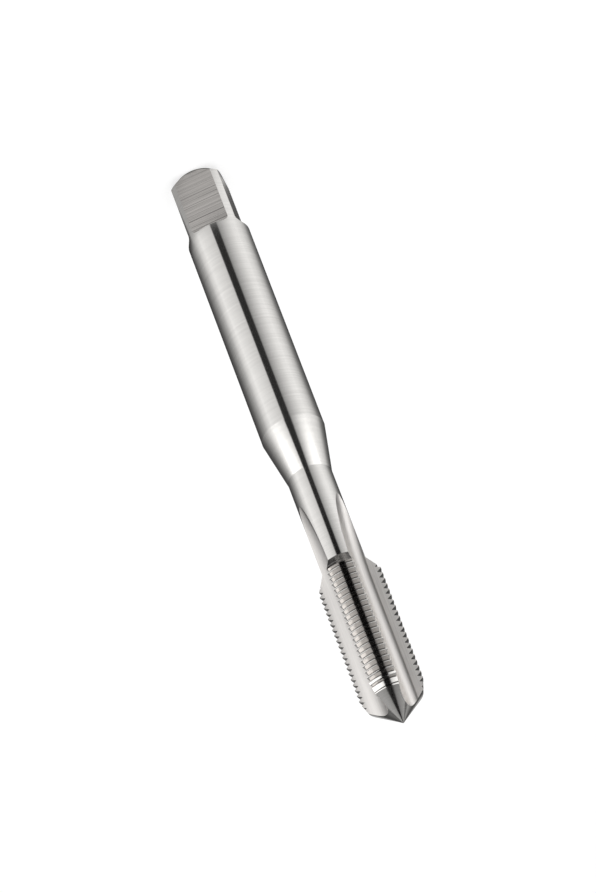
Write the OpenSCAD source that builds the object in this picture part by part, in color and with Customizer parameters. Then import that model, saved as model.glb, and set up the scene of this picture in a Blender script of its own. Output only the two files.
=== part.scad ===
// A hand thread tap: a round shank with a milled driving square, a waisted neck,
// and a threaded cutting end with three straight flutes, a short lead and a full point.
// It stands on its driving end, with the axis along Z and the point upwards. The origin is
// the centre of the driving end's face. One flat of the square and the middle of one land
// face -Y.

/* [Overall] */
// Length from the driving end to the point
overall_length = 66; // [62:0.5:80]

/* [Shank and driving square] */
// Diameter of the shank
shank_d = 6.3; // [6:0.05:6.5]
// Length of the shank, from the driving end to its edge at the neck
shank_length = 32; // [25:0.05:36]
// Width across the flats of the driving square
square_af = 5; // [4.8:0.05:5.2]
// Length of the flats, up to the start of their rounded end
square_length = 6.9; // [5:0.1:10]
// Radius that the cutter leaves at the end of each flat
flat_end_radius = 0.6; // [0.4:0.05:0.8]
// Width of the bevel round the driving end, along the axis
end_bevel = 0.85; // [0.3:0.05:1]

/* [Neck] */
// Diameter of the neck
neck_d = 4.42; // [4.2:0.05:4.8]
// Slope of the cone between shank and neck, from the axis
neck_slope = 10; // [8:0.2:15]
// Slope of the shoulder between neck and thread, from the axis
shoulder_slope = 31; // [25:1:45]

/* [Thread] */
// Diameter over the crests of the thread
thread_d = 6.42; // [6.3:0.01:6.5]
// Length of the full thread, between the shoulder and the lead
thread_length = 12.6; // [8:0.05:14]
// Distance from one crest to the next
pitch = 0.635; // [0.5:0.005:0.8]
// Angle between the two sides of a groove
thread_angle = 60; // [50:1:65]
// Width of the flat on each crest
crest_flat = 0.07; // [0.05:0.01:0.12]
// Width of the flat at the bottom of each groove
root_flat = 0.04; // [0.02:0.01:0.08]
// Turn of the thread about the axis
thread_turn = 110; // [0:5:355]

/* [Lead and point] */
// Length of the lead, where the first teeth are ground down
lead_length = 1.4; // [1:0.05:3]
// Slope of the lead, from the axis
lead_slope = 17.5; // [10:0.5:20]
// Angle of the point, from side to side
point_angle = 94; // [80:1:120]

/* [Flutes] */
// Number of flutes
flute_count = 3; // [3:1:4]
// Length of the flutes, from the point to where they fade out on the neck
flute_length = 25.3; // [22:0.1:27]
// Angle that each land takes up on the crests
land_angle = 51.5; // [45:0.5:56]
// Radius of the solid web between the flutes
web_r = 1.25; // [1.2:0.05:1.4]
// Undercut of the cutting face, from the radius at the crest
rake_angle = 3.3; // [0:0.1:6]
// Radius at the bottom of a flute
root_r = 1; // [0.7:0.05:1.1]
// Radius of a flute's hollow back
back_r = 2.8; // [2.6:0.1:3.6]
// Radius of the grinding wheel, which shapes the end of each flute on the neck
wheel_r = 50; // [30:1:55]

/* [Hidden] */
$fn = 96;
// Room by which each cutting shape runs past the steel
over = 0.5;
shank_r = shank_d / 2;
neck_r = neck_d / 2;
thread_r = thread_d / 2;
flat_h = square_af / 2;
// Places along the axis, from the driving end
neck_z = shank_length + (shank_r - neck_r) / tan(neck_slope);
lead_end_r = thread_r - lead_length * tan(lead_slope);
point_z = overall_length - lead_end_r / tan(point_angle / 2);
lead_z = point_z - lead_length;
crest_z = lead_z - thread_length;
shoulder_z = crest_z - (thread_r - neck_r) / tan(shoulder_slope);
// The groove of the thread. Its open side stands clear of the crests, at 0.7 of the
// height where one turn would meet the next.
flank_tan = tan(thread_angle / 2);
groove_root_r = thread_r - (pitch - crest_flat - root_flat) / 2 / flank_tan;
groove_rise = 0.7 * crest_flat / 2 / flank_tan;
groove_top_w = pitch - crest_flat + 2 * groove_rise * flank_tan;
groove_steps = 24;
// The outline of a flute, seen from the point with the flute towards +Y:
// a straight cutting face on the right, a small root arc and a large hollow back
flute_half = 180 / flute_count - land_angle / 2;
cut_corner = thread_r * [sin(flute_half), cos(flute_half)];
heel_corner = [-cut_corner.x, cut_corner.y];
face_out = [sin(flute_half - rake_angle), cos(flute_half - rake_angle)];
face_in = [-face_out.y, face_out.x];
root_side = root_r - thread_r * sin(rake_angle);
root_c = sqrt(pow(web_r + root_r, 2) - root_side * root_side) * face_out + root_side * face_in;
// The back's centre is back_r from the heel, and back_r less root_r from the root's centre
span = norm(root_c - heel_corner);
span_dir = (root_c - heel_corner) / span;
back_along = (back_r * back_r - pow(back_r - root_r, 2) + span * span) / 2 / span;
back_up = sqrt(back_r * back_r - back_along * back_along);
back_c = heel_corner + back_along * span_dir + back_up * [-span_dir.y, span_dir.x];
face_turn = atan2(-face_in.y, -face_in.x);
join_turn = atan2(root_c.y - back_c.y, root_c.x - back_c.x);
heel_turn = atan2(heel_corner.y - back_c.y, heel_corner.x - back_c.x);
past_heel = 180 / PI * over / back_r;
arc_step = 6;
// The wheel's centre above the axis, and its path from the full depth up to the neck
wheel_y = web_r + wheel_r;
fade_length = sqrt(wheel_r * wheel_r - pow(wheel_y - neck_r, 2));
flute_z = overall_length - flute_length + fade_length;
wheel_sweep = acos((wheel_y - neck_r - over) / wheel_r);

// Points on an arc about c from turn a to turn b, with the first one left out if from is 1
function arc(c, r, a, b, from = 0) =
    let (n = ceil(abs(b - a) / arc_step))
        [for (i = [from:n]) c + r * [cos(a + (b - a) * i / n), sin(a + (b - a) * i / n)]];

// The steel as it leaves the cylindrical grinder: a body of revolution
module ground_blank() {
    rotate_extrude()
        polygon([
            [0, 0],
            [shank_r - end_bevel, 0],
            [shank_r, end_bevel],
            [shank_r, shank_length],
            [neck_r, neck_z],
            [neck_r, shoulder_z],
            [thread_r, crest_z],
            [thread_r, lead_z],
            [lead_end_r, point_z],
            [0, overall_length]
        ]);
}

// What the cutter takes off for one flat of the square, the one that faces +Y
module flat_cut() {
    translate([-shank_d, flat_h, -over])
        cube([2 * shank_d, shank_r, square_length + over]);
    translate([-shank_d, flat_h + flat_end_radius, -over])
        cube([2 * shank_d, shank_r, square_length + flat_end_radius + over]);
    translate([0, flat_h + flat_end_radius, square_length])
        rotate([0, 90, 0])
            cylinder(r = flat_end_radius, h = 4 * shank_d, center = true);
}

// The outline that the edge of the grinding wheel gives a flute
module flute_outline() {
    polygon(concat(
        [[heel_corner.x - over, thread_r + over], [cut_corner.x + over, thread_r + over]],
        [cut_corner + over * face_out],
        arc(root_c, root_r, face_turn, join_turn),
        arc(back_c, back_r, join_turn, heel_turn - past_heel, 1)
    ));
}

// The flute that faces +Y: straight down from the point, then outwards round the wheel
module flute_cut() {
    translate([0, 0, flute_z])
        linear_extrude(overall_length - flute_z + over)
            flute_outline();
    translate([0, wheel_y, flute_z])
        rotate([-90, 0, -90])
            rotate_extrude(angle = wheel_sweep)
                translate([wheel_y, 0])
                    rotate(90)
                        flute_outline();
}

// The V-shaped groove between the crests, wound about the axis as a right-hand helix
module thread_groove() {
    section = [
        [-groove_top_w / 2, thread_r + groove_rise],
        [-root_flat / 2, groove_root_r],
        [root_flat / 2, groove_root_r],
        [groove_top_w / 2, thread_r + groove_rise]
    ];
    rings = ceil((point_z + pitch - shoulder_z) / pitch * groove_steps);
    points = [
        for (i = [0:rings], p = section)
            let (a = thread_turn + 360 * i / groove_steps)
                [p.y * cos(a), p.y * sin(a), shoulder_z + pitch * i / groove_steps + p.x]
    ];
    sides = [
        for (i = [0:rings - 1], k = [0:3])
            let (a = 4 * i + k, b = 4 * i + (k + 1) % 4)
                each [[a, b + 4, b], [a, a + 4, b + 4]]
    ];
    ends = [[0, 1, 2, 3], [for (k = [3:-1:0]) 4 * rings + k]];
    polyhedron(points, concat(ends, sides));
}

// The whole tap, ground from one bar of high-speed steel
module tap() {
    color("lightgray")
        difference() {
            ground_blank();
            for (k = [0:3])
                rotate(90 * k)
                    flat_cut();
            for (k = [0:flute_count - 1])
                rotate(180 + 360 * (k + 0.5) / flute_count)
                    flute_cut();
            thread_groove();
        }
}

tap();
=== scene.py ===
# %% [markdown]
# # A hand thread tap
# A tap cuts a thread inside a hole. This one is a single piece of high-speed steel: a round shank with
# a driving square, a waisted neck, and a threaded cutting end with three flutes and a full point. The
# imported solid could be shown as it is, but polished steel shows every facet. So this scene makes the
# same body again in mesh code, with finer curves and true normals, and then gives each ground
# surface its own finish.

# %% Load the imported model
import math

import bmesh
import bpy
from mathutils import Matrix, Vector


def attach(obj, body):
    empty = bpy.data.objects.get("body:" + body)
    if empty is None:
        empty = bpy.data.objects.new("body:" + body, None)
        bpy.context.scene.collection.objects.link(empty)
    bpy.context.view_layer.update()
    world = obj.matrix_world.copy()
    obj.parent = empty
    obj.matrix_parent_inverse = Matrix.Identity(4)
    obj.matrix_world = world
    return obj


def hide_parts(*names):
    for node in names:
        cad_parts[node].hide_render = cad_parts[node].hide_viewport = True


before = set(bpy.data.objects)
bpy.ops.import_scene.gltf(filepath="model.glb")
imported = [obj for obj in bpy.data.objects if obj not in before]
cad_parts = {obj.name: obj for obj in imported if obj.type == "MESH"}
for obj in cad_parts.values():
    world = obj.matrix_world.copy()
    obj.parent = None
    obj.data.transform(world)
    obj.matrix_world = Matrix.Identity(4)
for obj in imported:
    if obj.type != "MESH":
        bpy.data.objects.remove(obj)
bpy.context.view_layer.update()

# %% [markdown]
# ## The camera
# The tap stands on its driving end. The camera looks down at it from the side of the point, and the
# picture is turned, so that the point is at the lower right. A long lens keeps the sides of the shank
# almost parallel. The tap could have been laid down and turned instead, but then it would roll: a
# turned camera gives the same picture of a tap that stands. The angles were worked out from the
# outline in the picture, and the camera is aimed, so no lens shift is needed.

# %% Where the camera looks from
view_turn = math.radians(-6.4)  # round the tap, from the front
view_height = math.radians(33.44)  # above the horizontal
view_roll = math.radians(-159.107)  # turn of the picture itself
view_distance = 0.47682
view_aim = Vector((0, 0, 0.033426))

to_camera = Vector((
    math.sin(view_turn) * math.cos(view_height),
    -math.cos(view_turn) * math.cos(view_height),
    math.sin(view_height),
))

# %% Camera
camera = bpy.data.objects.new("camera", bpy.data.cameras.new("camera"))
bpy.context.scene.collection.objects.link(camera)
camera.location = view_aim + view_distance * to_camera
upright = to_camera.to_track_quat("Z", "Y").to_matrix().to_4x4()
roll = Matrix.Rotation(-view_roll, 4, "Z")
camera.matrix_world = Matrix.Translation(camera.location) @ upright @ roll
camera.data.sensor_fit = "VERTICAL"
camera.data.sensor_height = 36
camera.data.lens = 201.57
camera.data.clip_start = 0.01
camera.data.clip_end = 20
bpy.context.scene.camera = camera
print("camera at", [round(v, 4) for v in camera.location])

# %% [markdown]
# ## The sizes
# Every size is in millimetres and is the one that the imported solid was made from. Only the outer
# sizes are written down. The places where one surface meets the next follow from them, as they do
# when the real tap is turned and ground to a drawing.

# %% Sizes in millimetres
shank_r, flat_h, neck_r, thread_r = 3.15, 2.5, 2.21, 3.21
overall_length, shank_length = 66, 32
square_length, flat_end_radius, end_bevel = 6.9, 0.6, 0.85
thread_length, lead_length = 12.6, 1.4
neck_slope, shoulder_slope, lead_slope = (math.radians(a) for a in (10, 31, 17.5))
half_point = math.radians(47)
over = 0.5  # room by which each cutting shape runs past the steel
print("length", overall_length, "shank", 2 * shank_r, "square", 2 * flat_h, "thread", 2 * thread_r)

# %% Places along the axis, from the driving end
neck_z = shank_length + (shank_r - neck_r) / math.tan(neck_slope)
lead_end_r = thread_r - lead_length * math.tan(lead_slope)
point_z = overall_length - lead_end_r / math.tan(half_point)
lead_z = point_z - lead_length
crest_z = lead_z - thread_length
shoulder_z = crest_z - (thread_r - neck_r) / math.tan(shoulder_slope)
print("shoulder", round(shoulder_z, 3), "lead", round(lead_z, 3), "point", round(point_z, 3))

# %% [markdown]
# ## The zones of the surface
# On the real tap each operation leaves its own surface: the cylindrical grinder on the shank, a
# cutter on the square, a formed wheel in the flutes. The finishes could be painted on afterwards by
# place. Here the mesh keeps the order of the workshop instead: each cutting shape carries its own
# finish, and the Boolean passes it on to the faces that it leaves, so every edge is sharp.

# %% Zones, named for how each was made
ZONES = [
    "ground_shank", "turned_bevel", "faced_end", "milled_square", "ground_cone", "ground_neck",
    "turned_shoulder", "ground_crest", "ground_lead", "ground_point", "ground_flute",
    "ground_cutting_face", "ground_thread",
]
zone_number = {zone: i for i, zone in enumerate(ZONES)}
steel_of = {zone: bpy.data.materials.new("high_speed_steel_" + zone) for zone in ZONES}
print("zones:", len(ZONES))


# %% Make a closed mesh
def new_object(name, points, faces, zones):
    """A closed mesh in millimetres, with a zone for each face and its normals outwards."""
    mesh = bpy.data.meshes.new(name)
    mesh.from_pydata(points, [], faces)
    mesh.update()
    obj = bpy.data.objects.new(name, mesh)
    bpy.context.scene.collection.objects.link(obj)
    for zone in ZONES:
        mesh.materials.append(steel_of[zone])
    mesh.polygons.foreach_set("material_index", [zone_number[zone] for zone in zones])
    work = bmesh.new()
    work.from_mesh(mesh)
    bmesh.ops.recalc_face_normals(work, faces=work.faces)
    work.to_mesh(mesh)
    work.free()
    return obj


# %% [markdown]
# ## The blank
# A tap starts as a bar that is turned and ground between centres, so the blank is a body of
# revolution. A Screw modifier could spin it, but a lathe in mesh code also gives each stretch of the
# outline its own finish: one ring of points for each corner, and one band of faces between two rings.

# %% Half of the blank's outline
# height, radius and the zone from this corner to the next
outline = [
    (0, 0, "faced_end"),
    (0, shank_r - end_bevel, "turned_bevel"),
    (end_bevel, shank_r, "ground_shank"),
    (shank_length, shank_r, "ground_cone"),
    (neck_z, neck_r, "ground_neck"),
    (shoulder_z, neck_r, "turned_shoulder"),
    (crest_z, thread_r, "ground_crest"),
    (lead_z, thread_r, "ground_lead"),
    (point_z, lead_end_r, "ground_point"),
    (overall_length, 0, None),
]
ROUND_STEPS = 288  # faces round the shank
print("corners of the outline:", len(outline))


# %% Turn the blank
def turn_blank():
    turns = [2 * math.pi * j / ROUND_STEPS for j in range(ROUND_STEPS)]
    points, faces, zones = [(0, 0, 0)], [], []
    for z, r, _ in outline[1:-1]:
        points += [(r * math.cos(a), r * math.sin(a), z) for a in turns]
    points.append((0, 0, overall_length))
    for j in range(ROUND_STEPS):
        k = (j + 1) % ROUND_STEPS
        faces.append((0, 1 + k, 1 + j))
        zones.append(outline[0][2])
        for i, (_, _, zone) in enumerate(outline[1:-2]):
            low = 1 + i * ROUND_STEPS
            high = low + ROUND_STEPS
            faces.append((low + j, low + k, high + k, high + j))
            zones.append(zone)
        faces.append((high + j, high + k, len(points) - 1))
        zones.append(outline[-2][2])
    return new_object("tap_body", points, faces, zones)


steel = turn_blank()
print("blank faces:", len(steel.data.polygons))

# %% [markdown]
# ## Cutting shapes from rings
# The square, the flutes and the thread are all cut by moving one outline along a path. A curve with a
# bevel could do that, but the ends of the path would be hard to place. So one helper joins a row of
# equal rings of points into a closed solid, with a lid at each end, and another turns a ring about
# the axis.


# %% Join rings into a cutter
def solid_from_rings(name, rings, zone):
    n = len(rings[0])
    points = [p for ring in rings for p in ring]
    faces = [
        (i * n + j, i * n + (j + 1) % n, (i + 1) * n + (j + 1) % n, (i + 1) * n + j)
        for i in range(len(rings) - 1)
        for j in range(n)
    ]
    last = (len(rings) - 1) * n
    faces += [tuple(range(n)), tuple(last + j for j in reversed(range(n)))]
    return new_object(name, points, faces, [zone] * len(faces))


def turned(points, angle):
    c, s = math.cos(angle), math.sin(angle)
    return [(c * x - s * y, s * x + c * y, z) for x, y, z in points]


# %% [markdown]
# ## The driving square
# Four flats on the end of the shank take the wrench. They are milled, and the round edge of the
# cutter leaves a small radius where each flat stops. A plain box would cut a sharp step there, so the
# cutter here is the side view of one cut, with that radius, drawn right across the shank.

# %% Cutters for the square
END_ARC = 10  # steps of the radius


def flat_outline():
    """The side view of one cut, in y and z."""
    axis_y = flat_h + flat_end_radius
    arc_turns = [math.pi + math.pi / 2 * i / END_ARC for i in range(END_ARC + 1)]
    curve = [
        (axis_y + flat_end_radius * math.cos(a), square_length - flat_end_radius * math.sin(a))
        for a in arc_turns
    ]
    outside = shank_r + over
    top = (outside, square_length + flat_end_radius)
    return [(flat_h, -over)] + curve + [top, (outside, -over)]


def flat_cutter(k):
    rings = [
        turned([(x, y, z) for y, z in flat_outline()], math.pi / 2 * k)
        for x in (-2 * shank_r, 2 * shank_r)
    ]
    return solid_from_rings(f"flat_cutter_{k}", rings, "milled_square")


# %% [markdown]
# ## The flutes
# The flutes give the tap its cutting edges and carry the chips away. A formed wheel grinds each one
# along the tap: a straight cutting face with a little undercut, a small arc at the root and a hollow
# back. Then the wheel lifts out on the neck, and the flute fades out. A straight groove with a
# slanted end would look like a plain slot. So the outline is made of the same line and two arcs that
# the wheel has, and at the end it turns about the wheel's centre.

# %% Sizes of a flute, in millimetres
flute_count, flute_length = 3, 25.3
land_angle, rake_angle = math.radians(51.5), math.radians(3.3)
web_r, root_r, back_r, wheel_r = 1.25, 1, 2.8, 50

flute_half = math.pi / flute_count - land_angle / 2
cut_corner = thread_r * Vector((math.sin(flute_half), math.cos(flute_half)))
heel_corner = Vector((-cut_corner.x, cut_corner.y))
face_out = Vector((math.sin(flute_half - rake_angle), math.cos(flute_half - rake_angle)))
face_in = Vector((-face_out.y, face_out.x))

# %% Centres of the root and of the hollow back
root_side = root_r - thread_r * math.sin(rake_angle)
root_c = math.sqrt((web_r + root_r) ** 2 - root_side ** 2) * face_out + root_side * face_in
span = (root_c - heel_corner).length
span_dir = (root_c - heel_corner) / span
back_along = (back_r ** 2 - (back_r - root_r) ** 2 + span ** 2) / 2 / span
back_up = math.sqrt(back_r ** 2 - back_along ** 2)
back_c = heel_corner + back_along * span_dir + back_up * Vector((-span_dir.y, span_dir.x))
print("root centre", [round(v, 3) for v in root_c], "back centre", [round(v, 3) for v in back_c])

# %% Where the wheel lifts out
wheel_y = web_r + wheel_r
fade_length = math.sqrt(wheel_r ** 2 - (wheel_y - neck_r) ** 2)
flute_z = overall_length - flute_length + fade_length
wheel_sweep = math.acos((wheel_y - neck_r - over) / wheel_r)
ROOT_STEPS, BACK_STEPS, FADE_STEPS = 24, 40, 24
print("flutes are straight down to", round(flute_z, 3), "and fade over", round(fade_length, 3))


# %% Cutters for the flutes
def arc(centre, r, a, b, steps):
    turns = [a + (b - a) * i / steps for i in range(steps + 1)]
    return [centre + r * Vector((math.cos(t), math.sin(t))) for t in turns]


def flute_outline():
    """One flute seen from the point, facing +Y, with its cutting face on the right."""
    face_turn = math.atan2(-face_in.y, -face_in.x)
    join_turn = math.atan2(root_c.y - back_c.y, root_c.x - back_c.x)
    heel_turn = math.atan2(heel_corner.y - back_c.y, heel_corner.x - back_c.x)
    past_heel = over / back_r
    points = [
        Vector((heel_corner.x - over, thread_r + over)),
        Vector((cut_corner.x + over, thread_r + over)),
        cut_corner + over * face_out,
    ]
    points += arc(root_c, root_r, face_turn, join_turn, ROOT_STEPS)
    return points + arc(back_c, back_r, join_turn, heel_turn - past_heel, BACK_STEPS)[1:]


def flute_cutter(k):
    section = flute_outline()
    rings = [[(p.x, p.y, z) for p in section] for z in (overall_length + over, flute_z)]
    for i in range(1, FADE_STEPS + 1):
        a = wheel_sweep * i / FADE_STEPS
        rings.append([
            (p.x, wheel_y - (wheel_y - p.y) * math.cos(a), flute_z - (wheel_y - p.y) * math.sin(a))
            for p in section
        ])
    rings = [turned(ring, 2 * math.pi * k / flute_count) for ring in rings]
    return solid_from_rings(f"flute_cutter_{k}", rings, "ground_flute")


# %% [markdown]
# ## The thread
# The thread is what the tap copies into the hole. It is one V-shaped groove, wound up the tap as a
# right-hand helix, forty turns to the inch. Rings round the tap would be quicker, but they have no
# lead, and a fine thread in bump would leave the outline smooth. So the groove is a real cut: its
# section has four corners, and a ring of them is placed every three degrees.

# %% Sizes of the groove
pitch, crest_flat, root_flat = 0.635, 0.07, 0.04
flank = math.tan(math.radians(60) / 2)  # slope of each side of the groove
thread_turn = math.radians(110)
groove_root_r = thread_r - (pitch - crest_flat - root_flat) / 2 / flank
# the open side stands clear of the crests, at 0.7 of the height where two turns would meet
groove_rise = 0.7 * crest_flat / 2 / flank
groove_top_w = pitch - crest_flat + 2 * groove_rise * flank
GROOVE_STEPS = 120  # rings in one turn
print("depth of the groove:", round(thread_r - groove_root_r, 3))


# %% Cutter for the thread
def thread_cutter():
    section = [
        (-groove_top_w / 2, thread_r + groove_rise),
        (-root_flat / 2, groove_root_r),
        (root_flat / 2, groove_root_r),
        (groove_top_w / 2, thread_r + groove_rise),
    ]
    rings = []
    for i in range(math.ceil((point_z + pitch - shoulder_z) / pitch * GROOVE_STEPS) + 1):
        a = thread_turn + 2 * math.pi * i / GROOVE_STEPS
        height = shoulder_z + pitch * i / GROOVE_STEPS
        rings.append([(r * math.cos(a), r * math.sin(a), height + z) for z, r in section])
    return solid_from_rings("thread_cutter", rings, "ground_thread")


# %% [markdown]
# ## Cutting
# The cuts are made in the order of the workshop: the square, the flutes, and the thread last. Each
# cutter is taken away with a Boolean modifier, which is then applied. The manifold solver was chosen
# because it is quick and exact on closed meshes such as these. Where two cuts meet it can leave
# points on top of each other, and those are merged.


# %% Cut the blank
def cut(body, cutter):
    change = body.modifiers.new("cut", "BOOLEAN")
    change.object, change.operation, change.solver = cutter, "DIFFERENCE", "MANIFOLD"
    graph = bpy.context.evaluated_depsgraph_get()
    mesh = bpy.data.meshes.new_from_object(body.evaluated_get(graph))
    body.modifiers.clear()
    old, body.data = body.data, mesh
    bpy.data.meshes.remove(old)
    bpy.data.objects.remove(cutter)


for k in range(4):
    cut(steel, flat_cutter(k))
for k in range(flute_count):
    cut(steel, flute_cutter(k))
cut(steel, thread_cutter())
print("cut faces:", len(steel.data.polygons), "points:", len(steel.data.vertices))

# %% Merge doubled points
DOUBLED = 0.0001  # a tenth of a micrometre
work = bmesh.new()
work.from_mesh(steel.data)
bmesh.ops.remove_doubles(work, verts=work.verts, dist=DOUBLED)
work.to_mesh(steel.data)
work.free()
print("points left:", len(steel.data.vertices))

# %% [markdown]
# ## True normals
# A mirror-like surface shows the smallest error in its normals, and a Boolean leaves long, thin faces
# that smooth shading can't average well. But each zone has a known form, a cone, a plane, an arc or a
# helix, so its normals can be worked out exactly from that form. The turned zones come first: their
# normal leans by the slope of the outline.

# %% Normals of the turned zones
slope_normal = {}
for (z0, r0, zone), (z1, r1, _) in zip(outline, outline[1:]):
    length = math.hypot(z1 - z0, r1 - r0)
    slope_normal[zone] = ((z1 - z0) / length, (r0 - r1) / length)


def radial(p):
    r = math.hypot(p.x, p.y) or 1
    return Vector((p.x / r, p.y / r, 0))


def turned_normal(zone, p, face):
    # at the very tip a point has no direction of its own, and the middle of the face gives it
    at_tip = zone == "ground_point" and p.z >= overall_length - 0.05
    side, up = slope_normal[zone]
    return side * radial(face.center if at_tip else p) + Vector((0, 0, up))


# %% [markdown]
# ### Normals of the square
# A flat has one normal. In the radius at its end the normal points to the cutter's own axis. A face
# that looks almost along the tap can't say which flat it belongs to, so its place says it.


# %% Normals of the square
def square_normal(p, face):
    facing = p if abs(face.z) >= 0.98 else face
    quarter = round(math.atan2(facing.y, facing.x) / (math.pi / 2)) * math.pi / 2
    out = Vector((math.cos(quarter), math.sin(quarter), 0))
    if p.z <= square_length + 1e-4 and abs(face.z) < 0.01:
        return out
    away = Vector((flat_h + flat_end_radius - p.dot(out), square_length - p.z))
    away.normalize()
    return Vector((out.x * away.x, out.y * away.x, away.y))


# %% [markdown]
# ### Normals of the flutes
# Each point is first turned to the flute that faces +Y. On the fading end it is also brought back
# down round the wheel, so that it lies on the flat outline. There the nearest of the three forms
# gives the normal: the straight cutting face, the root arc or the hollow back.

# %% Normals of the flutes
FAR_OFF = 9  # more than any real distance to the outline, in millimetres


def flute_turn(p):
    step = 2 * math.pi / flute_count
    return round((math.atan2(p.y, p.x) - math.pi / 2) / step) * step


def flute_part(p):
    """A point's place on the flat outline, its lift on the wheel and the form it lies on."""
    if p.z >= flute_z:
        flat, lift = Vector((p.x, p.y)), 0
    else:
        lift = math.atan2(flute_z - p.z, wheel_y - p.y)
        flat = Vector((p.x, wheel_y - math.hypot(flute_z - p.z, wheel_y - p.y)))
    misses = {
        "face": abs((flat - cut_corner).dot(face_in)) if flat.x > root_c.x else FAR_OFF,
        "root": abs((flat - root_c).length - root_r),
        "back": abs((flat - back_c).length - back_r),
    }
    return flat, lift, min(misses, key=misses.get)


def flute_normal(p, form):
    flat, lift, _ = flute_part(p)
    if form == "face":
        n = face_in
    else:
        n = ((root_c if form == "root" else back_c) - flat).normalized()
    return Vector((n.x, n.y * math.cos(lift), n.y * math.sin(lift)))


# %% [markdown]
# ### Normals of the thread
# The two sides of the groove lean up and down the tap, and the helix turns them a little round it.
# The narrow bottom of the groove looks straight out.


# %% Normals of the thread
def thread_normal(p, face):
    out = radial(p)
    if abs(face.z) < 0.3:  # the bottom of the groove
        return out
    round_way = Vector((-out.y, out.x, 0))
    lead = pitch / 2 / math.pi / math.hypot(p.x, p.y)
    up_tap = Vector((0, 0, 1)) - lead * round_way
    n = flank * out - up_tap if face.z < 0 else flank * out + up_tap
    return n.normalized()


# %% [markdown]
# ### Give each corner its normal
# The faces are gone through once. The straight side of each flute gets a finish of its own here,
# because only now is it known which faces those are. Where a worked-out normal is far from the face's
# own, on slivers at an edge, the face's own normal is kept.

# %% Set the normals
AGREES = 0.2  # least cosine between the worked-out normal and the face's own


def true_normals(mesh):
    normals = [None] * len(mesh.loops)
    for face in mesh.polygons:
        zone = ZONES[face.material_index]
        if zone == "ground_flute":
            turn = Matrix.Rotation(-flute_turn(face.center), 3, "Z")
            form = flute_part(turn @ face.center)[2]
            back = turn.transposed()
            if form == "face":
                face.material_index = zone_number["ground_cutting_face"]
        for loop in face.loop_indices:
            p = mesh.vertices[mesh.loops[loop].vertex_index].co
            if zone == "milled_square":
                n = square_normal(p, face.normal)
            elif zone == "ground_flute":
                n = back @ flute_normal(turn @ p, form)
            elif zone == "ground_thread":
                n = thread_normal(p, face.normal)
            else:
                n = turned_normal(zone, p, face)
            normals[loop] = n if n.dot(face.normal) > AGREES else face.normal.copy()
    mesh.polygons.foreach_set("use_smooth", [True] * len(mesh.polygons))
    mesh.normals_split_custom_set(normals)


true_normals(steel.data)
steel.data.transform(Matrix.Scale(0.001, 4))  # millimetres to metres
steel.data.update()
triangles = sum(len(face.vertices) - 2 for face in steel.data.polygons)
print("tap faces:", len(steel.data.polygons), "triangles:", triangles)

# %% [markdown]
# ## Colours and nodes
# Colours are written as the sRGB hex values that a picture shows, and one function turns them to the
# linear values that Blender works with. One more function adds a node, with its settings, its values
# or links, and the stops of a ramp where it has one.


# %% Colours and nodes
def linear(hex_colour):
    parts = [int(hex_colour[i:i + 2], 16) / 255 for i in (0, 2, 4)]
    return tuple(c / 12.92 if c <= 0.04045 else ((c + 0.055) / 1.055) ** 2.4 for c in parts) + (1,)


def add(tree, kind, settings=None, inputs=None, stops=()):
    made = tree.nodes.new(kind)
    for name, value in (settings or {}).items():
        setattr(made, name, value)
    for name, value in (inputs or {}).items():
        if isinstance(value, bpy.types.NodeSocket):
            tree.links.new(value, made.inputs[name])
        else:
            made.inputs[name].default_value = value
    if stops:
        elements = made.color_ramp.elements
        while len(elements) < len(stops):
            elements.new(0.5)
        for element, (at, grey) in zip(elements, stops):
            element.position = at
            element.color = (grey, grey, grey, 1)
    return made


# %% [markdown]
# ## Grinding lines
# The tap is bare high-speed steel, hardened and then ground bright. Each pass of the wheel leaves
# fine parallel lines. To the eye they give a soft sheen across them and small changes of light along
# the tap. Real ones are a few micrometres apart, far too fine for the picture, so they are drawn
# coarser, a few hundredths of a millimetre wide. Stretched noise suits them better than a wave, because
# no two lines are alike.

# %% Grinding lines
MM = 1000  # millimetres in a metre
BROADER = 3.7  # a second, broader set of lines breaks up the first
BROAD_SHARE = 0.6  # how much of it is added
LINES_LOW, LINES_HIGH = 0.55, 1.05  # the range that both together cover


def grinding_lines(tree, place, size, contrast):
    """The lines as a height, and the steel's lightness, near 1; size is one line's, in mm."""
    fine_place = add(tree, "ShaderNodeVectorMath", {"operation": "MULTIPLY"}, {
        0: place, 1: tuple(MM / s for s in size)})
    fine = add(tree, "ShaderNodeTexNoise", {}, {
        "Vector": fine_place.outputs[0], "Scale": 1.0, "Detail": 3.0, "Roughness": 0.6})
    broad_place = add(tree, "ShaderNodeVectorMath", {"operation": "MULTIPLY"}, {
        0: place, 1: tuple(MM / s / BROADER for s in size)})
    broad = add(tree, "ShaderNodeTexNoise", {}, {
        "Vector": broad_place.outputs[0], "Scale": 1.0, "Detail": 2.0})
    both = add(tree, "ShaderNodeMath", {"operation": "MULTIPLY_ADD"}, {
        0: broad.outputs[0], 1: BROAD_SHARE, 2: fine.outputs[0]})
    lit = add(tree, "ShaderNodeMapRange", {}, {
        "Value": both.outputs[0], "From Min": LINES_LOW, "From Max": LINES_HIGH,
        "To Min": 1 - contrast, "To Max": 1 + 0.5 * contrast})
    return fine.outputs[0], lit.outputs[0]


# %% [markdown]
# ## Milling marks
# The square isn't ground after milling, so the teeth of the cutter leave rows of darker scratches
# across it. They give the eye a flat that looks cut and not polished. Real rows are about a tenth of
# a millimetre apart, and they are drawn at about two tenths, so that they show. Drawn rows would be
# too regular, so the marks are the peaks of a noise that is stretched right across the flat.

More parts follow.
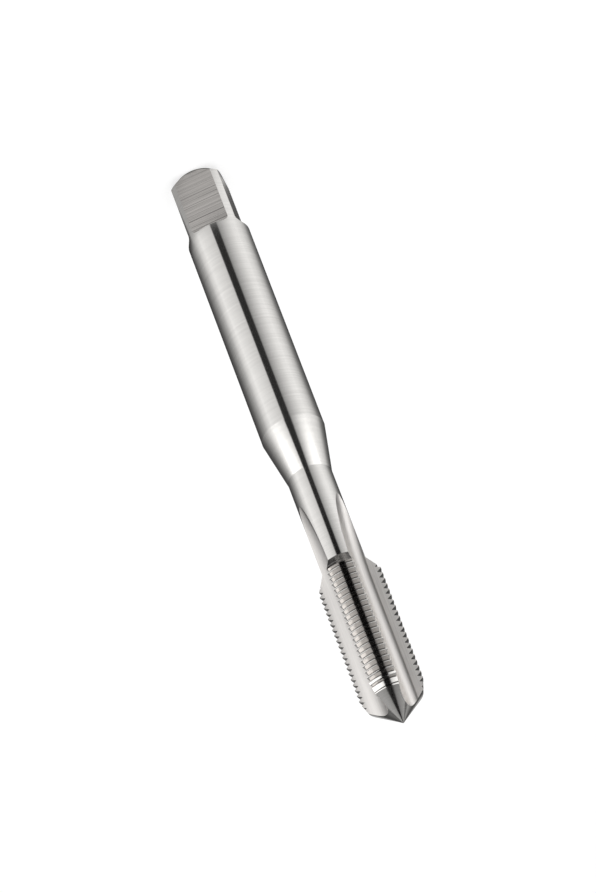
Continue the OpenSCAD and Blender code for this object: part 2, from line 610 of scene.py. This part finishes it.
# %% Milling marks
MARK_SIZE = (40, 40, 0.22)  # millimetres along x, y and z
MARK_DARK = 0.6  # how much light the deepest mark takes
MARK_FROM, MARK_FULL = 0.54, 0.62  # only the peaks of the noise are marks


def milling_marks(tree, place, lit):
    rows = add(tree, "ShaderNodeVectorMath", {"operation": "MULTIPLY"}, {
        0: place, 1: tuple(MM / s for s in MARK_SIZE)})
    noise = add(tree, "ShaderNodeTexNoise", {}, {
        "Vector": rows.outputs[0], "Scale": 1.0, "Detail": 3.0, "Roughness": 0.7})
    mark = add(tree, "ShaderNodeMapRange", {}, {
        "Value": noise.outputs[0], "From Min": MARK_FROM, "From Max": MARK_FULL,
        "To Min": 1.0, "To Max": 1 - MARK_DARK})
    both = add(tree, "ShaderNodeMath", {"operation": "MULTIPLY"}, {0: lit, 1: mark.outputs[0]})
    return both.outputs[0]


# %% [markdown]
# ## Painted shade in the roots
# Little light gets down into the grooves of a thread this fine. So the roots look dark and the crests
# bright, and that is what makes each turn stand out. The mirror-like sides alone don't show it, so a
# shade is painted into the steel's colour, darker towards the root. The distance from the axis says
# exactly how deep a point lies, and the painted shade follows it.

# %% Painted shade in the roots
# painted shade: the steel's colour darkens towards the bottom of each groove
ROOT_LIGHT = 0.45  # share of the light that is left at the bottom
ROOT_RISE = 0.14  # millimetres up the groove until the steel is bright again


# paints shade into the thread's colour, darker the deeper a point lies in the groove
def painted_root_shade(tree, place, lit):
    flat_place = add(tree, "ShaderNodeVectorMath", {"operation": "MULTIPLY"}, {
        0: place, 1: (MM, MM, 0)})
    from_axis = add(tree, "ShaderNodeVectorMath", {"operation": "LENGTH"}, {
        0: flat_place.outputs[0]})
    shade = add(tree, "ShaderNodeMapRange", {"interpolation_type": "SMOOTHSTEP"}, {
        "Value": from_axis.outputs["Value"], "From Min": groove_root_r,
        "From Max": groove_root_r + ROOT_RISE, "To Min": ROOT_LIGHT, "To Max": 1.0})
    both = add(tree, "ShaderNodeMath", {"operation": "MULTIPLY"}, {0: lit, 1: shade.outputs[0]})
    return both.outputs[0]


# %% [markdown]
# ## The steel
# Every finish is the same metal, so one function makes them all: fully metallic, with the default
# IOR, the lines in its colour and, a little, in its bump. What differs is how the surface was made.
# That sets the roughness, the way the lines run and, on round ground surfaces, how far the sheen
# spreads across the lines.


# %% The steel
def high_speed_steel(zone, colour, roughness, lines, depth, contrast, anisotropic=0.0, shade=None):
    """lines: mm over which they change along x, y and z; depth: their height in mm."""
    material = steel_of[zone]
    material.use_nodes = True
    tree = material.node_tree
    tree.nodes.clear()
    place = add(tree, "ShaderNodeTexCoord").outputs["Object"]
    height, lit = grinding_lines(tree, place, lines, contrast)
    if shade:
        lit = shade(tree, place, lit)
    tint = add(tree, "ShaderNodeVectorMath", {"operation": "SCALE"}, {
        0: linear(colour)[:3], "Scale": lit})
    bump = add(tree, "ShaderNodeBump", {}, {
        "Height": height, "Distance": depth / MM, "Strength": 1.0})
    shader = add(tree, "ShaderNodeBsdfPrincipled", {}, {
        "Base Color": tint.outputs[0], "Metallic": 1.0, "Roughness": roughness,
        "Anisotropic": anisotropic, "Normal": bump.outputs[0]})
    if anisotropic:
        axis = add(tree, "ShaderNodeTangent", {"direction_type": "RADIAL", "axis": "Z"})
        tree.links.new(axis.outputs[0], shader.inputs["Tangent"])
        shader.inputs["Anisotropic Rotation"].default_value = 0.25  # a quarter turn
    add(tree, "ShaderNodeOutputMaterial", {}, {"Surface": shader.outputs[0]})
    print(material.name, colour, "roughness", roughness)


# %% [markdown]
# ## Ground round surfaces
# The shank, the cone and the neck are ground between centres, with the lines round the tap. To the
# eye that is a soft mirror: a sharp dark stripe along the tap, with edges that the lines draw out
# lengthways. Roughness 0.12 and strong anisotropy give both. The lines are drawn 0.08 mm wide, coarser
# than the real ones, so that they show.

# %% Shank, cone and neck
BRIGHT = "e6e4e1"  # ground high-speed steel, a little warmer than white

# the widest mirror: the dark stripe is sharp, and fine rings break it up
high_speed_steel("ground_shank", BRIGHT, 0.12, (5, 5, 0.08), 0.0003, 0.1, 0.6)
# the same steel, a little calmer, so that the stripe changes width only where the form does
high_speed_steel("ground_cone", BRIGHT, 0.12, (5, 5, 0.08), 0.0003, 0.08, 0.6)
high_speed_steel("ground_neck", BRIGHT, 0.12, (5, 5, 0.08), 0.0003, 0.08, 0.6)

# %% [markdown]
# ## Turned and faced surfaces
# The bevel and the shoulder are darker than the rest, and their darker colour is painted shade. To the
# eye they are dark rims round the bright parts. The end is taken for a faced surface, a plain satin
# disc. All three use the same lines, wider or narrower, with more roughness or a darker colour. The
# rings that the lathe tool leaves are drawn coarser than the real ones.

# %% Bevel, end and shoulder
# dull, with only a broad, soft highlight; its dark grey colour is painted shade
high_speed_steel("turned_bevel", "8f8d8a", 0.3, (3, 3, 0.06), 0.0006, 0.1)
# satin, with a fine grain that has no direction
high_speed_steel("faced_end", "c8c7c4", 0.35, (0.2, 0.2, 0.2), 0.001, 0.1)
# the darkest band on the tap, its dark colour painted shade, still smooth enough to have a highlight
high_speed_steel("turned_shoulder", "7c7976", 0.18, (6, 6, 0.06), 0.0004, 0.12)

# %% [markdown]
# ## The milled square
# The flats are milled and not ground, so they are rougher than the shank: to the eye an even grey
# with rows of marks across it, and no sharp reflection. The lines and the marks both run across the
# flat, as the cutter did, and both are drawn coarser than the real ones.

# %% Square
high_speed_steel("milled_square", "e0dcd8", 0.22, (9, 9, 0.13), 0.0014, 0.2, shade=milling_marks)

# %% [markdown]
# ## The ground cutting end
# The crests, the lead and the point are the last and finest grinding on the tap, because they do the
# cutting. To the eye they are small, crisp mirrors that flash white or black. A low roughness gives
# that, with faint lines drawn 0.05 mm wide, coarser than real.

# %% Crests, lead and point
# the crests are narrow bright lines between the grooves
high_speed_steel("ground_crest", BRIGHT, 0.08, (4, 4, 0.05), 0.0001, 0.08)
# the lead leans towards the point and flashes where the crests are dark
high_speed_steel("ground_lead", BRIGHT, 0.1, (4, 4, 0.05), 0.0002, 0.08)
# the point is cut into facets by the flutes, each of another grey
high_speed_steel("ground_point", BRIGHT, 0.12, (4, 4, 0.05), 0.0003, 0.08)

# %% [markdown]
# ## The flutes and the thread
# The wheel that grinds a flute runs along the tap, and so do its lines, drawn a tenth of a millimetre
# wide, coarser than real. The deep flute is satin to the eye, a smooth change from grey to white. The
# cutting face is the lightest part, with painted light in its lighter colour, and has no reflection
# with an edge. The thread is ground with a fine wheel: bright mirror sides over roots of painted shade.

# %% Flutes, cutting faces and thread
# a satin hollow, dark at its root and light towards its edges
high_speed_steel("ground_flute", "d6d3d0", 0.34, (0.1, 0.1, 5), 0.0004, 0.08)
# an even, very light strip along each edge that cuts; its lighter colour is painted light
high_speed_steel("ground_cutting_face", "f3f0ed", 0.45, (0.1, 0.1, 5), 0.0004, 0.1)
# crisp, with a bright and a dark side to every turn; its colour, a little darker than the shank's, and
# its dark roots are painted shade
high_speed_steel("ground_thread", "d6d3d0", 0.07, (1, 1, 0.05), 0.00005, 0.08, shade=painted_root_shade)

# %% [markdown]
# ## Put the tap in place
# The mesh was made in the same frame as the imported solid, so it needs no fitting. It replaces that
# solid, which is hidden but stays for collision, and it rides on the only body that a tool in one piece
# has.

# %% Put the tap in place
steel.name = "thread_tap"
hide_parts("tap")
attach(steel, "root")
print("one piece:", steel.name, "with", len(steel.data.materials), "finishes")

# %% [markdown]
# ## The white sheet
# The tap stands on a white sheet that turns up into a wall all round, like a table in a small photo
# studio. A flat floor under a white world would show a horizon in views from low down. So the sheet
# is a lathe too: floor, bend and wall in one profile. It also glows a little where the camera, glossy
# or clear things see it, so that the background is white while the light on the tap stays plain.


# %% A lathe for the stage
def stage_lathe(name, profile, steps=96):
    turns = [2 * math.pi * j / steps for j in range(steps)]
    points = [(r * math.cos(a), r * math.sin(a), z) for r, z in profile for a in turns]
    faces = [
        (low + j, low + (j + 1) % steps, low + steps + (j + 1) % steps, low + steps + j)
        for low in range(0, (len(profile) - 1) * steps, steps)
        for j in range(steps)
    ]
    mesh = bpy.data.meshes.new(name)
    mesh.from_pydata(points, [], faces)
    mesh.polygons.foreach_set("use_smooth", [True] * len(faces))
    obj = bpy.data.objects.new(name, mesh)
    bpy.context.scene.collection.objects.link(obj)
    return obj


# %% Sheet
FLOOR_R, BEND_R, WALL_H, BEND_STEPS = 0.7, 0.2, 0.8, 12
AXIS_R = 0.00001  # as near to the axis as a ring needs to be

bend = [
    (FLOOR_R + BEND_R * math.sin(a), BEND_R - BEND_R * math.cos(a))
    for a in (math.pi / 2 * i / BEND_STEPS for i in range(1, BEND_STEPS + 1))
]
profile = [(AXIS_R, 0), (FLOOR_R, 0)] + bend + [(FLOOR_R + BEND_R, WALL_H)]
sheet = stage_lathe("white_sheet", profile)

# %% Paper
PAPER_GLOW = 0.74  # brings the lit paper up to white

paper = bpy.data.materials.new("white_paper")
paper.use_nodes = True
tree = paper.node_tree
tree.nodes.clear()
diffuse = add(tree, "ShaderNodeBsdfDiffuse", {}, {"Color": linear("a8a8a8")})
ray = add(tree, "ShaderNodeLightPath")
seen = add(tree, "ShaderNodeMath", {"operation": "ADD", "use_clamp": True}, {
    0: ray.outputs["Is Camera Ray"], 1: ray.outputs["Is Glossy Ray"]})
seen = add(tree, "ShaderNodeMath", {"operation": "ADD", "use_clamp": True}, {
    0: seen.outputs[0], 1: ray.outputs["Is Transmission Ray"]})
lift = add(tree, "ShaderNodeMath", {"operation": "MULTIPLY"}, {0: seen.outputs[0], 1: PAPER_GLOW})
glow = add(tree, "ShaderNodeEmission", {}, {
    "Color": (1, 1, 1, 1), "Strength": lift.outputs[0]})
both = add(tree, "ShaderNodeAddShader", {}, {0: diffuse.outputs[0], 1: glow.outputs[0]})
add(tree, "ShaderNodeOutputMaterial", {}, {"Surface": both.outputs[0]})
sheet.data.materials.append(paper)
print("sheet:", round(2 * (FLOOR_R + BEND_R), 2), "m across")

# %% [markdown]
# ## Lamps
# Two low soft boxes stand to the left and right in front, close to the tap, and a large one hangs
# above. They light the tap from both sides and leave a gap straight ahead, which is what the dark
# stripe needs. Small lamps would give bright lines instead, because steel shows the lamp's own shape.

# %% Lamps
BOX_TURN, BOX_HEIGHT, BOX_DISTANCE = math.radians(58), 0.045, 0.12


def soft_box(name, place, aim, width, tall, glow):
    """A soft box at a place, facing its aim; glow is its brightness, where 1 is white."""
    light = bpy.data.lights.new(name, "AREA")
    light.shape, light.size, light.size_y = "RECTANGLE", width, tall
    light.energy = glow * math.pi * width * tall
    obj = bpy.data.objects.new(name, light)
    obj.location = place
    obj.rotation_euler = (Vector(aim) - Vector(place)).to_track_quat("-Z", "Y").to_euler()
    obj.visible_camera = False
    bpy.context.scene.collection.objects.link(obj)


for name, side in (("soft_box_left", -1), ("soft_box_right", 1)):
    a = view_turn + side * BOX_TURN
    place = (BOX_DISTANCE * math.sin(a), -BOX_DISTANCE * math.cos(a), BOX_HEIGHT)
    soft_box(name, place, (0, 0, BOX_HEIGHT), 0.26, 0.088, 1.1)
soft_box("soft_box_above", (0, 0, 0.8), (0, 0, 0), 1.3, 1.3, 0.8)
print("lamps:", len(bpy.data.lights))

# %% [markdown]
# ## The room
# A plain grey world fills in a little light from all sides, as the walls of a room do. A brighter
# world could light the whole scene, but it has no direction, and the steel would look flat.

# %% World
world = bpy.data.worlds.new("studio")
world.use_nodes = True
world.node_tree.nodes["Background"].inputs["Color"].default_value = linear("b0b0b0")
bpy.context.scene.world = world
bpy.context.scene.view_settings.view_transform = "Standard"
print("world and view transform set:", bpy.context.scene.view_settings.view_transform)

# %% [markdown]
# ## Dark cards
# Bare steel has no colour of its own to show, so what stands round it is half of its look. A
# photographer puts black cards round polished metal for that. The gap between the soft boxes draws
# the thin black stripe along the tap, and the dark side behind shades its edges. Here they are one
# set of cards, a disc on the sheet, a wall and a lid, seen only by the steel. A card lets through a
# share of the light, and three things set that share: the direction round the tap, the height and,
# on the disc, how near it is.

# %% Cards
CARD_R, CARD_H = 0.115, 0.35
HOLE_R, ABOVE_SHEET = 0.0001, 0.00005  # a ring needs some radius, and the disc some air under it
CARD_STEPS = 180

cards = stage_lathe("dark_cards", [
    (HOLE_R, ABOVE_SHEET), (CARD_R, ABOVE_SHEET), (CARD_R, CARD_H), (HOLE_R, CARD_H)], CARD_STEPS)
cards.data.polygons.foreach_set("use_smooth", [False] * len(cards.data.polygons))
for way in ("visible_camera", "visible_diffuse", "visible_shadow", "visible_transmission"):
    setattr(cards, way, False)
card = bpy.data.materials.new("black_card")
card.use_nodes = True
tree = card.node_tree
tree.nodes.clear()
cards.data.materials.append(card)
print("cards:", round(2 * CARD_R, 3), "m across and", CARD_H, "m high")

# %% [markdown]
# ### Near and far, low and high
# Each part of the tap mirrors its own part of the cards. The square and the start of the shank mirror
# the disc close by, the rest of the shank and the neck the disc further out, and the thread its rim.
# The cone and the lead mirror the wall, and the point's facets mirror it high up. One lamp and card
# for each would soon be in each other's way. So one material has a few ramps that say where each
# share begins and ends, as pairs of a measure in metres and a grey.

# %% Shares by height and by distance
place = add(tree, "ShaderNodeTexCoord").outputs["Object"]
level = add(tree, "ShaderNodeVectorRotate", {"rotation_type": "Z_AXIS"}, {
    "Vector": place, "Angle": -view_turn})
split = add(tree, "ShaderNodeSeparateXYZ", {}, {0: level.outputs[0]})
height = split.outputs["Z"]
flat_place = add(tree, "ShaderNodeVectorMath", {"operation": "MULTIPLY"}, {
    0: place, 1: (1, 1, 0)})
distance = add(tree, "ShaderNodeVectorMath", {"operation": "LENGTH"}, {
    0: flat_place.outputs[0]}).outputs["Value"]

NEAR_R, UNDER_LID = 0.02, CARD_H - 0.002
MEASURES = {
    # beyond 13 mm the disc has its dark gap
    "far": (distance, NEAR_R, [(0, 0), (0.0122, 0), (0.0136, 1), (NEAR_R, 1)]),
    # under the driving end the disc is almost black, and draws the dark edge of the bevel
    "foot": (distance, NEAR_R, [(0, 0.04), (0.0026, 0.04), (0.003, 1), (NEAR_R, 1)]),
    # the rim of the disc and the wall above it have a light of their own, for thread and lead
    "rim": (distance, CARD_R, [(0, 0), (0.071, 0), (0.076, 1), (0.11, 1), (0.112, 0), (CARD_R, 0)]),
    "high": (height, CARD_H, [(0, 0), (0.02, 0), (0.035, 1), (CARD_H, 1)]),
    # high on the wall everything is dimmer and the gap is wider
    "dimmer": (height, CARD_H, [(0, 1), (0.1, 1), (0.17, 0.42), (UNDER_LID, 0.42), (CARD_H, 0.68)]),
    "wider": (height, CARD_H, [(0, 1), (0.15, 1), (0.19, 0.62), (UNDER_LID, 0.62), (CARD_H, 1)]),
}
share = {}
for name, (measure, most, stops) in MEASURES.items():
    part = add(tree, "ShaderNodeMapRange", {}, {"Value": measure, "From Min": 0.0, "From Max": most})
    ramp = add(tree, "ShaderNodeValToRGB", {}, {0: part.outputs[0]}, [
        (at / most, grey) for at, grey in stops])
    share[name] = ramp.outputs[0]

# %% [markdown]
# ### Round the tap
# The direction is measured in degrees from straight ahead, with the picture's left on the positive
# side. The light falls off to both sides, ends at the narrow dark gap ahead and is low on the far
# side. Straight behind, some light comes in again, so that the tap isn't black when it is seen from
# there. On the lid, which hangs over the tap, the gap is a straight band and not a wedge.

# %% Degrees round the tap
LID_AHEAD = 0.16  # metres; a fixed depth makes the wedge a band
front = add(tree, "ShaderNodeMath", {"operation": "MULTIPLY"}, {0: split.outputs["Y"], 1: -1.0})
on_lid = add(tree, "ShaderNodeMath", {"operation": "GREATER_THAN"}, {0: height, 1: CARD_H - 0.001})
ahead = add(tree, "ShaderNodeMix", {"data_type": "FLOAT"}, {
    0: on_lid.outputs[0], 2: front.outputs[0], 3: LID_AHEAD})
angle = add(tree, "ShaderNodeMath", {"operation": "ARCTAN2"}, {
    0: split.outputs["X"], 1: ahead.outputs[0]})
degrees = add(tree, "ShaderNodeMath", {"operation": "DEGREES"}, {0: angle.outputs[0]})
degrees = add(tree, "ShaderNodeMath", {"operation": "MULTIPLY"}, {
    0: degrees.outputs[0], 1: share["wider"]})

# %% Light by direction: pairs of degrees and grey
AROUND = [
    (-180, 0.55), (-170, 0.5), (-160, 0.06), (-140, 0.1), (-124, 0.21), (-104, 0.58), (-88, 0.8),
    (-70, 0.93), (-56, 0.87), (-37, 0.64), (-18, 0.38), (-12, 0.27), (-10.3, 0.028),
    (10.3, 0.028), (12, 0.64), (18, 0.7), (37, 0.82), (61, 0.96), (78, 0.73), (88, 0.51),
    (104, 0.3), (124, 0.13), (140, 0.07), (158, 0.05), (169, 0.5), (180, 0.55),
]
FAR = [
    (-180, 0.6), (-168, 0.55), (-158, 0.12), (-140, 0.1), (-124, 0.24), (-104, 0.66), (-88, 0.82),
    (-70, 0.86), (-56, 0.82), (-37, 0.66), (-18, 0.47), (-12, 0.33), (-9.5, 0.006),
    (12, 0.006), (14, 0.5), (20, 0.62), (37, 0.78), (61, 0.86), (78, 0.67), (88, 0.48),
    (104, 0.28), (124, 0.12), (140, 0.08), (156, 0.1), (168, 0.55), (180, 0.6),
]
# close to the tap there is no gap, and the positive side is dimmer
NEAR = [(at, grey) for at, grey in AROUND if at <= -30]
NEAR += [(at, 0.5) for at, grey in AROUND if abs(at) < 30]
NEAR += [(at, min(grey, 0.4)) for at, grey in AROUND if 30 <= at < 88]
NEAR += [(90, 0.4), (97, 0.14), (104, 0.04), (158, 0.04), (167, 0.5), (180, 0.55)]

part = add(tree, "ShaderNodeMapRange", {}, {
    "Value": degrees.outputs[0], "From Min": -180.0, "From Max": 180.0})
for name, stops in {"near_light": NEAR, "around_light": AROUND, "far_light": FAR}.items():
    ramp = add(tree, "ShaderNodeValToRGB", {}, {0: part.outputs[0]}, [
        ((at + 180) / 360, grey) for at, grey in stops])
    share[name] = ramp.outputs[0]
print("directions:", len(NEAR), "near,", len(AROUND), "around and", len(FAR), "far")

# %% [markdown]
# ### Put the shares together
# The near part of the disc, the rest of it, and then the rim with the wall take over from each other,
# and the foot and the height dim what comes out. The card itself is a clear sheet of that grey, so it
# takes light away and adds none.

# %% The card's clearness
upper = add(tree, "ShaderNodeMath", {"operation": "MAXIMUM"}, {0: share["rim"], 1: share["high"]})
on_disc = add(tree, "ShaderNodeMix", {"data_type": "RGBA"}, {
    0: share["far"], 6: share["near_light"], 7: share["around_light"]})
everywhere = add(tree, "ShaderNodeMix", {"data_type": "RGBA"}, {
    0: upper.outputs[0], 6: on_disc.outputs[2], 7: share["far_light"]})
with_foot = add(tree, "ShaderNodeMix", {"data_type": "RGBA", "blend_type": "MULTIPLY"}, {
    0: 1.0, 6: everywhere.outputs[2], 7: share["foot"]})
through = add(tree, "ShaderNodeMix", {"data_type": "RGBA", "blend_type": "MULTIPLY"}, {
    0: 1.0, 6: with_foot.outputs[2], 7: share["dimmer"]})
clear = add(tree, "ShaderNodeBsdfTransparent", {}, {"Color": through.outputs[2]})
add(tree, "ShaderNodeOutputMaterial", {}, {"Surface": clear.outputs[0]})
